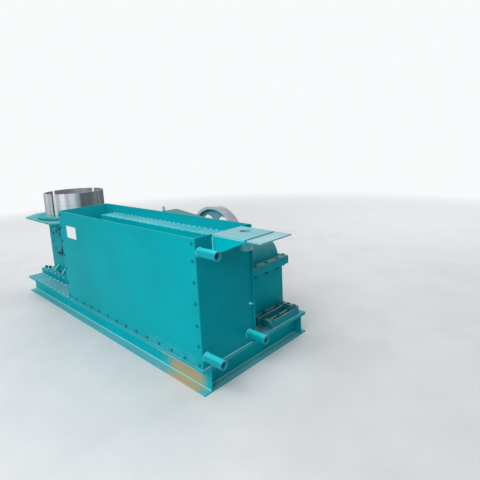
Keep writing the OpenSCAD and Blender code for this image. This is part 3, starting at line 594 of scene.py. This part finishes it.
# Wire cones and exit die box. Stepped steel cones, wet and bright, on shafts that pass the back
# wall through seals. The die box hangs on the left end: a turned knob on its lid, a brass die
# nozzle with a lock nut towards the capstan, and four screws.
BOX_FACE = box("die_box")[0][0]
BOX_TOP = box("die_box_lid")[1][2]
DIE_Y = middle("die_box")[1]
paint = enamel("teal_enamel", TEAL, DUST_AND_SHEEN_TEAL)
brass = metal("tap_brass", (0.50, 0.38, 0.17), 0.4, 0.9)
# Near black: the lid knob's own colour, and on the round cover a painted shadow.
dark_oil_and_shadow = Finish("oil_dark_and_shadow", 0.25)
dark_oil_and_shadow.set("Base Color", dark_oil_and_shadow.mix(dark_oil_and_shadow.noise(20.0), (0.004, 0.022, 0.024), (0.015, 0.045, 0.045)))
dress(metal("wet_steel", (0.36, 0.37, 0.37), 0.26, 0.95, lambda f: f.scaled(30.0, 700.0, 30.0), 0.5),
      "stepped_cones")
dress(steel, "cone_shafts")
dress(paint, "shaft_seals", "die_box", "die_box_lid")
knob = lathe([(0.006, 0.0), (0.005, 0.01), (0.012, 0.016), (0.014, 0.024), (0.01, 0.031), (0.004, 0.033)], 20)
nozzle = lathe([(0.02, 0.0), (0.02, 0.008), (0.012, 0.012), (0.0105, 0.022), (0.005, 0.024)], 24)
make("lid_knob", aimed(knob, (0, 0, 1), (-0.0925, DIE_Y, BOX_TOP)), dark_oil_and_shadow)
make("die_nozzle", aimed(nozzle, (-1, 0, 0), (BOX_FACE, DIE_Y, 0.862)), brass)
screws = [(BOX_FACE, y, z) for y in (0.05, 0.121) for z in (0.806, 0.905)]
make("box_screws", spread(hex_bolt(0.010, 0.005), (-1, 0, 0), screws), bolt_paint)

# Gearbox. A painted steel body and cover in two halves, bolted through a split flange with nuts
# below, and an eyebolt on top. Two drain plugs and a level glass sit in its back; the cover's
# top is dusty and oily.
(GEAR_LEFT, GEAR_FRONT, _), (GEAR_RIGHT, _, SPLIT) = box("gearbox_body")
FLANGE_HALF, FLANGE_BACK = 0.032, 1.086
BACK_FACE = 1.048
AXIS_X, _, AXIS_Z = middle("drive_pulley")


def stud(across=0.02, high=0.016, shank=0.007):
    """Nut on a threaded end that stands out past it."""
    r = across / math.sqrt(3.0)
    nut = lathe([(r * 0.86, 0.0), (r, across * 0.12), (r, across * 0.68), (r * 0.84, across * 0.8)], 6)
    end = lathe([(shank, across * 0.7), (shank, high), (shank * 0.75, high + 0.0015)], 12)
    return joined(nut, end)


dress(paint, "gearbox_body", "cover_eyebolt")
dress(enamel("cover_enamel", (0.01, 0.31, 0.35), (0.21, 0.26, 0.26), dust_and_sheen=0.8, rough=0.46,
             stain=dirt((0.21, 0.20, 0.16), 0.6)), "gearbox_cover")
joint = [(x, y, SPLIT + FLANGE_HALF) for x in np.linspace(0.05, 1.69, 11) for y in (0.648, 1.067)]
joint += [(x, y, SPLIT + FLANGE_HALF) for x in (0.03, 1.709) for y in (0.70, 0.83, 0.96)]
nuts = [(x, y, SPLIT - FLANGE_HALF) for x, y, _ in joint if abs(x - AXIS_X) > 0.075]
make("flange_bolts", spread(hex_bolt(0.024, 0.011), (0, 0, 1), joint), bolt_paint)
make("flange_nuts", spread(stud(0.024, 0.026), (0, 0, -1), nuts), bolt_paint)
plugs = [(x, BACK_FACE, 0.225) for x in (0.16, 1.58)]
make("gearbox_plugs", spread(hex_bolt(0.032, 0.016), (0, 1, 0), plugs), bolt_paint)
seam_dark = Finish("seam_dark", 0.8)
seam_dark.fix("Base Color", (0.01, 0.05, 0.055, 1.0))
seam = slab((GEAR_LEFT - 0.0005, GEAR_FRONT - 0.0005, SPLIT - 0.0008),
            (GEAR_RIGHT + 0.0005, FLANGE_BACK + 0.0005, SPLIT + 0.0008), 0.0004)
make("joint_line", seam, seam_dark)

# Level glass. A round glass in a steel bezel on the gearbox's back, half full of amber oil.
GLASS = (1.58, BACK_FACE + 0.001, 0.335)
sight = Finish("level_glass", 0.12)
dry = sight.z.over(GLASS[2] - 0.001, GLASS[2] + 0.001)
sight.set("Base Color", sight.mix(dry, (0.20, 0.12, 0.02), (0.50, 0.46, 0.34)))
make("level_glass", aimed(lathe([(0.021, 0.0), (0.021, 0.004), (0.018, 0.006)], 28), (0, 1, 0), GLASS),
     sight)
make("level_bezel", aimed(ring(0.025, 0.005, 32), (0, 1, 0), (GLASS[0], GLASS[1] + 0.003, GLASS[2])),
     steel)

# Drive pulley. Cast iron on the input shaft behind the gearbox: a bare worn rim with belt
# grooves, and a pale blue painted web. Bolts hold the bearing's cap and the hub; a key shows.
(pulley_left, PULLEY_FRONT, _), (pulley_right, PULLEY_BACK, _) = box("drive_pulley")
PULLEY_R = (pulley_right - pulley_left) / 2.0
RIM_INSIDE = PULLEY_R - 0.025
GROOVE_DARK = PULLEY_R - 0.004


def pulley_surface():
    """Pale rim, painted inside the rim, with painted shade in the grooves. Shade = between the rim's
    side faces and over 4 mm deep, by the distance from the axis."""
    f = Finish("cast_rim", 0.5)
    x, y = f.spot()
    far = (x - AXIS_X).reach(f.z - AXIS_Z)
    painted = far.under(RIM_INSIDE - 0.0015, RIM_INSIDE - 0.0005)
    worn = f.mix(f.noise(9.0, 3.0, 0.6, seed=4.0).over(0.35, 0.7), (0.72, 0.75, 0.82), (0.97, 0.96, 0.99))
    shade = f.mix(f.noise(6.0, 5.0, 0.65).over(0.35, 0.65), (0.10, 0.33, 0.39), (0.18, 0.44, 0.50))
    between = y.over(PULLEY_FRONT + 0.0010, PULLEY_FRONT + 0.0014)
    between = between * y.under(PULLEY_BACK - 0.0014, PULLEY_BACK - 0.0010)
    base = f.mix(painted, worn, shade)
    base = f.mix((1.0 - between) * (1.0 - painted) * 0.55, base, (0.36, 0.60, 0.68))
    # Near black in the grooves: painted shade.
    groove_shade = far.over(RIM_INSIDE, RIM_INSIDE + 0.0005) * far.under(GROOVE_DARK - 0.0004, GROOVE_DARK + 0.0003)
    f.set("Base Color", f.mix(groove_shade * between * 0.97, base, (0.006, 0.007, 0.012)))
    f.set("Metallic", 0.15 - painted * 0.15)
    return f


def circle(centre, r, count, start=0.0, level=False):
    """Places at equal angles round a centre, on a circle that stands facing y or lies level."""
    a = start + np.arange(count) * 2.0 * np.pi / count
    across, along, still = r * np.cos(a), r * np.sin(a), 0.0 * a
    return np.array(centre) + np.stack([across, along, still] if level else [across, still, along], -1)


KEY_Z = AXIS_Z + 0.027
dress(pulley_surface(), "drive_pulley")
dress(steel, "input_shaft")
dress(paint, "input_bearing_cap")
cap_bolts = circle((AXIS_X, 1.132, AXIS_Z), 0.0545, 6, 0.3)
make("bearing_bolts", spread(hex_bolt(0.012, 0.006), (0, 1, 0), cap_bolts), bolt_paint)
hub_bolts = circle((AXIS_X, PULLEY_BACK, AXIS_Z), 0.043, 4, 0.5)
make("hub_bolts", spread(hex_bolt(0.014, 0.007), (0, 1, 0), hub_bolts), steel, "pulley")
key = slab((AXIS_X - 0.007, PULLEY_BACK + 0.001, KEY_Z - 0.0035),
           (AXIS_X + 0.007, PULLEY_BACK + 0.006, KEY_Z + 0.0035), 0.001)
make("shaft_key", key, steel, "pulley")

# Motor rails. Two slotted rails on the deck's end, tied by bars, with the motor off: square
# washers and nuts stand loose on studs in the slots, and brown dust lies on top.
RAIL_TOP = box("motor_rails")[1][2]
POSTS = [(x, y, RAIL_TOP - 0.014) for x, y in ((1.722, 0.77), (1.722, 0.93), (1.840, 0.80), (1.840, 0.93))]
dress(enamel("rail_enamel", (0.01, 0.27, 0.31), (0.27, 0.31, 0.29), dust_and_sheen=0.95, rough=0.5), "motor_rails")
plates = [slab((x - 0.016, y - 0.016, z), (x + 0.016, y + 0.016, z + 0.004)) for x, y, z in POSTS]
on_plates = [(x, y, z + 0.004) for x, y, z in POSTS]
tied = [(x, 1.001, RAIL_TOP) for x in (1.722, 1.781, 1.840)]
make("rail_washers", joined(*plates), bolt_paint)
make("rail_nuts", spread(stud(0.020, 0.021, 0.0062), (0, 0, 1), on_plates), bolt_paint)
make("tie_bolts", spread(hex_bolt(0.018, 0.01), (0, 0, 1), tied), bolt_paint)

# Capstan pedestal. A steel box on a foot plate and two bars, stiffened by gussets. Nuts on
# studs with washers hold the foot plate to the bars and the bars to the deck.
PLATE_TOP, BAR_TOP = box("foot_plate")[1][2], box("foot_bars")[1][2]
dress(paint, "foot_bars", "foot_plate", "pedestal_gussets", "pedestal_body")
foot_studs = [(x, y, PLATE_TOP) for x in (-0.93, -0.674, -0.418) for y in (0.182, 0.683)]
foot_studs += [(x, y, BAR_TOP) for x in (-1.03, -0.21) for y in (0.175, 0.69)]
make("foot_nuts", spread(stud(0.028, 0.026, 0.008), (0, 0, 1), foot_studs), bolt_paint)
washer = lathe([(0.024, 0.0), (0.024, 0.003), (0.022, 0.0036)], 20)
make("foot_washers", spread(washer, (0, 0, 1), foot_studs), steel)

# Round cover. A painted plate over the bevel gear on the pedestal's front, held by eight bolts.
# A dark sliver along the lower right of its rim is a painted shadow, and a pale arc along the
# upper right is a painted highlight.
COVER_X, _, COVER_Z = middle("pedestal_round_cover")
cover_face = box("pedestal_round_cover")[0][1]


def arc(R, wide, groove_shade, start, end, steps=28):
    """Closed sliver along part of a circle about Z: an oval tube, wide across the radius and
    deep along Z, that swells as the root of a sine from nothing at either end."""
    u = np.linspace(0.0, 1.0, steps)[:, None]
    a = math.radians(start) + u * math.radians(end - start)
    t = -np.arange(8)[None, :] * 2.0 * np.pi / 8
    swell = 0.02 + np.sqrt(np.sin(np.pi * u))
    far = R + wide * swell * np.cos(t)
    points = np.stack([far * np.cos(a), far * np.sin(a), groove_shade * swell * np.sin(t) + 0.0 * a], -1)
    return points.reshape(-1, 3), skin(steps, 8)


dress(paint, "pedestal_round_cover")
# A dark sliver along the rim's lower right: a painted shadow. A pale arc along its upper right: a painted
# highlight.
shadow_sliver = arc(0.1400, 0.009, 0.0170, -114.0, 26.0)
make("cover_shadow_line", aimed(shadow_sliver, (0, -1, 0), (COVER_X, cover_face + 0.003, COVER_Z)), dark_oil_and_shadow)
rim_highlight = arc(0.1370, 0.0035, 0.004, 32.0, 150.0)
make("cover_rim_highlight", aimed(rim_highlight, (0, -1, 0), (COVER_X, cover_face + 0.0055, COVER_Z)), bead_highlight_paint)
cover_bolts = circle((COVER_X, cover_face + 0.006, COVER_Z), 0.1185, 8, 0.07)
make("cover_bolts", spread(hex_bolt(0.018, 0.009), (0, -1, 0), cover_bolts), bolt_paint)

# Side wheel and oil line. A small bare steel wheel turns in a bearing on the pedestal's left,
# with a nut on its shaft and four bolts in its hub. An oil pipe and a brass tap hang below.
WHEEL_X, _, WHEEL_Z = middle("side_wheel")
dress(steel, "side_wheel")
dress(paint, "wheel_bearing", "oil_pipe")
dress(brass, "drain_tap")
make("wheel_nut", aimed(stud(0.026, 0.024, 0.006), (0, 1, 0), (WHEEL_X, 0.768, WHEEL_Z)),
     steel, "wheel")
wheel_bolts = circle((WHEEL_X, 0.758, WHEEL_Z), 0.043, 4, 0.5)
make("wheel_bolts", spread(hex_bolt(0.01, 0.005), (0, 1, 0), wheel_bolts), steel, "wheel")

# Capstan. A turned steel drum on a painted flange over the tray. A weld ring runs round the
# drum's foot, bolts go round the hub and the disc, and a nut holds all on the upright shaft.
DRUM_X, DRUM_Y, _ = middle("capstan_drum")
(_, _, DRUM_FOOT), (_, _, DRUM_TOP) = box("capstan_drum")
WIRE_BAND = DRUM_TOP - 0.119


def round_drum(f):
    """Angle round the drum's upright axis and distance from it."""
    x, y = f.spot()
    dx, dy = x - DRUM_X, y - DRUM_Y
    return dy.turn(dx), dx.reach(dy)


def drum_surface():
    """Drum: brushed steel with a painted sheen round it, a painted highlight with fine streaks on
    the left and painted shade on the right. Cloudy tone bands, a faint ring at mid height where
    the wire first lands, mauve film inside and darker near the foot."""
    f = metal("drum_steel", (0.70, 0.73, 0.76), 0.40, 0.35,
              lambda f: f.join(round_drum(f)[0] * 60.0, f.z * 3.0, 0.0), 0.1)
    angle, far = round_drum(f)
    band = f.noise(1.0, 2.0, 0.45, at=f.join(angle * 2.2, f.z * 0.5, 3.0))
    # Painted sheen: a broad bright band on the left and a dark side on the right, painted highlight and
    # painted shade; fine darker streaks run through the bright band.
    painted_sheen = ((angle + 1.05) * 2.0).wave().over(0.44, 0.62)
    base = f.mix(painted_sheen, f.mix(0.88, f.base, (0.055, 0.08, 0.09)), f.mix(0.65, f.base, (0.97, 0.99, 1.0)))
    sheen_streak = ((angle + 0.471 + (band - 0.5) * 0.12) * 18.0).wave()
    base = f.mix(painted_sheen * sheen_streak.under(0.1, 0.75) * 0.6, base, (0.33, 0.38, 0.43))
    base = f.mix(band.over(0.40, 0.60) * 0.3, base, (0.50, 0.53, 0.56))
    wire = f.noise(1.0, 4.0, 0.7, at=f.join(0.0, angle * 0.6, f.z * 260.0)).over(0.55, 0.75)
    base = f.mix(wire * f.z.under(0.96, 1.0) * 0.3, base, (0.30, 0.31, 0.32))
    base = f.mix((f.z - WIRE_BAND).size().under(0.0012, 0.0028) * 0.5, base, (0.22, 0.23, 0.24))
    base = f.mix(f.z.under(DRUM_FOOT, 0.90) * 0.5, base, (0.20, 0.20, 0.19))
    inside = far.under(0.2955, 0.2975)
    base = f.mix(inside * (0.6 + 0.4 * f.noise(12.0, 4.0, 0.7)), base, (0.33, 0.30, 0.33))
    f.set("Base Color", base)
    return f


dress(enamel("tray_enamel", (0.02, 0.40, 0.44), (0.22, 0.48, 0.53), dust_and_sheen=0.8, rough=0.42), "tray_plate")
dress(enamel("disc_enamel", (0.0, 0.37, 0.41), (0.06, 0.44, 0.48), dust_and_sheen=0.8, rough=0.42), "capstan_flange")
dress(drum_surface(), "capstan_drum")
dress(steel, "capstan_shaft", "capstan_bearing")
hub_top, shaft_top = box("capstan_flange")[1][2], box("capstan_shaft")[1][2]
make("drum_weld", aimed(ring(0.3035, 0.003, 160, 0.1), (0, 0, 1), (DRUM_X, DRUM_Y, DRUM_FOOT + 0.0005)),
     bead_highlight_paint, "capstan", angle=70.0)
hub_studs = circle((DRUM_X, DRUM_Y, hub_top), 0.057, 6, level=True)
make("hub_studs", spread(hex_bolt(0.022, 0.012), (0, 0, 1), hub_studs), steel, "capstan")
disc_bolts = circle((DRUM_X, DRUM_Y, DRUM_FOOT), 0.20, 8, 0.2, level=True)
make("disc_bolts", spread(hex_bolt(0.022, 0.012), (0, 0, 1), disc_bolts), bolt_paint, "capstan")
make("shaft_nut", aimed(stud(0.052, 0.052, 0.012), (0, 0, 1), (DRUM_X, DRUM_Y, shaft_top)),
     steel, "capstan")

# Welds. Rippled beads where plates meet: stitches along the deck, the foot bars, the gearbox
# and the ledge, full runs up the tank's corners and round the pedestal's foot and the shelf.
SEAM = DECK + 0.001
TANK_TOP = RIM - 0.014


def bead(start, end, r=0.0035, pitch=0.006):
    """Weld bead along a line: a round rod whose radius ripples as |sin| of the length over the
    pitch and tapers at both ends."""
    start, end = np.array(start, float), np.array(end, float)
    length = np.linalg.norm(end - start)
    n = max(6, min(160, int(length / pitch * 2)))
    u = np.linspace(0.0, 1.0, n)
    ripple = 0.75 + 0.3 * np.abs(np.sin(np.arange(n) * 1.9))
    taper = np.minimum(1.0, 0.35 + 8.0 * u * (1.0 - u))
    return aimed(lathe(np.stack([r * ripple * taper, u * length], -1), 7), end - start, start)


def stitches(start, end, length=0.05, gap=0.09, r=0.0035):
    """Short beads along a line, a gap apart."""
    start, end = np.array(start, float), np.array(end, float)
    full = np.linalg.norm(end - start)
    way = (end - start) / full
    return [bead(start + way * t, start + way * min(t + length, full), r)
            for t in np.arange(0.0, full - 0.02, length + gap)]


bars_low, bars_high = box("foot_bars")
plate_low, plate_high = box("foot_plate")
body_low, body_high = box("pedestal_body")
ledge_low, ledge_high = box("tank_inner_ledge")
body_z = PLATE_TOP + 0.0005
runs = stitches((base_left + 0.045, 0.0045, DECK), (LEFT - 0.006, 0.0045, DECK), 0.055, 0.05, 0.004)
for y, gap in ((bars_low[1] - 0.002, 0.03), (bars_high[1] + 0.002, 0.05)):
    runs += stitches((bars_low[0] + 0.005, y, SEAM), (bars_high[0] - 0.005, y, SEAM), 0.07, gap, 0.005)
for y in (plate_low[1] - 0.001, plate_high[1] + 0.001):
    ends = [(plate_low[0] + 0.004, y, BAR_TOP + 0.001), (plate_high[0] - 0.006, y, BAR_TOP + 0.001)]
    runs += stitches(*ends, 0.05, 0.06)
runs += [bead((body_low[0] + 0.004, y, body_z), (body_high[0] - 0.004, y, body_z), 0.004)
         for y in (body_low[1] - 0.002, body_high[1] + 0.002)]
runs += [bead((x, body_low[1] + 0.004, body_z), (x, body_high[1] - 0.004, body_z), 0.004)
         for x in (body_low[0] - 0.002, body_high[0] + 0.002)]
for x, y in ((DRUM_X + i, j) for i in (-0.098, 0.098) for j in (-0.275, 0.275)):
    runs.append(bead((x, DRUM_Y + y, PLATE_TOP + 0.001), (x, DRUM_Y + y * 0.8, PLATE_TOP + 0.065), 0.006))
runs += stitches((0.06, 0.4895, SEAM), (1.86, 0.4895, SEAM), 0.06, 0.1)
runs += [bead((x, 0.02, SEAM), (x, 0.482, SEAM)) for x in (RIGHT + 0.001, LEFT - 0.001)]
runs += [bead((LEFT - 0.001, y, DECK + 0.018), (LEFT - 0.001, y, TANK_TOP), 0.003) for y in (0.486, 0.018)]
for start, y, z, length, gap, r in ((0.01, ledge_high[1] - 0.001, 0.0005, 0.018, 0.045, 0.0048),
                                    (0.002, ledge_low[1] - 0.0005, -0.002, 0.012, 0.1, 0.0035)):
    z += ledge_high[2]
    runs += stitches((ledge_low[0] + start, y, z), (ledge_high[0] - 0.012, y, z), length, gap, r)
runs += [bead((RIGHT + 0.001, y, 0.875), (RIGHT + 0.001, y, TANK_TOP), 0.004) for y in (0.149, 0.158, 0.398)]
runs += [bead((1.875, 0.1495, 0.9945), (2.13, 0.1495, 0.9945), 0.003),
         bead((RIGHT + 0.0015, 0.16, 0.995), (RIGHT + 0.0015, 0.40, 0.995), 0.004)]
for y in (0.666, 1.05):
    runs += stitches((0.06, y, SEAM), (1.68, y, SEAM), 0.05, 0.12, 0.004)
runs += [bead((x, 0.675, SEAM), (x, 1.01, SEAM), 0.003) for x in (1.7505, 1.8115, 1.8685)]
# The beads take the pale bead paint: a painted highlight.
make("weld_beads", joined(*runs), bead_highlight_paint, angle=70.0)

# Floor. A pale matt disc that stages the machine and fades into the white room at its rim. It
# is no piece of the machine.
FLOOR_R, FLOOR_SIDES = 9.0, 96
ground = Finish("pale_floor", 0.7)
ground.fix("Specular IOR Level", 0.2)
cloudy = ground.noise(2.5, 5.0, 0.6).over(0.3, 0.7)
ground.set("Base Color", ground.mix(cloudy, (0.70, 0.71, 0.72), (0.76, 0.765, 0.77)))
clear = ground.node("ShaderNodeBsdfTransparent")
solid = Value(ground.tree, ground.face.outputs[0])
fade = ground.node("ShaderNodeMixShader", _0=ground.x.reach(ground.y).over(3.2, 8.5), _1=solid, _2=clear)
ground.tree.links.new(fade.sock, ground.tree.nodes["Material Output"].inputs["Surface"])
turn = np.arange(FLOOR_SIDES) * 2.0 * np.pi / FLOOR_SIDES
floor_mesh = bpy.data.meshes.new("floor")
floor_mesh.from_pydata(np.stack([FLOOR_R * np.cos(turn), FLOOR_R * np.sin(turn), 0.0 * turn], -1).tolist(),
                       [], [list(range(FLOOR_SIDES))])
floor_mesh.materials.append(ground.mat)
floor = bpy.data.objects.new("floor", floor_mesh)
scene.collection.objects.link(floor)
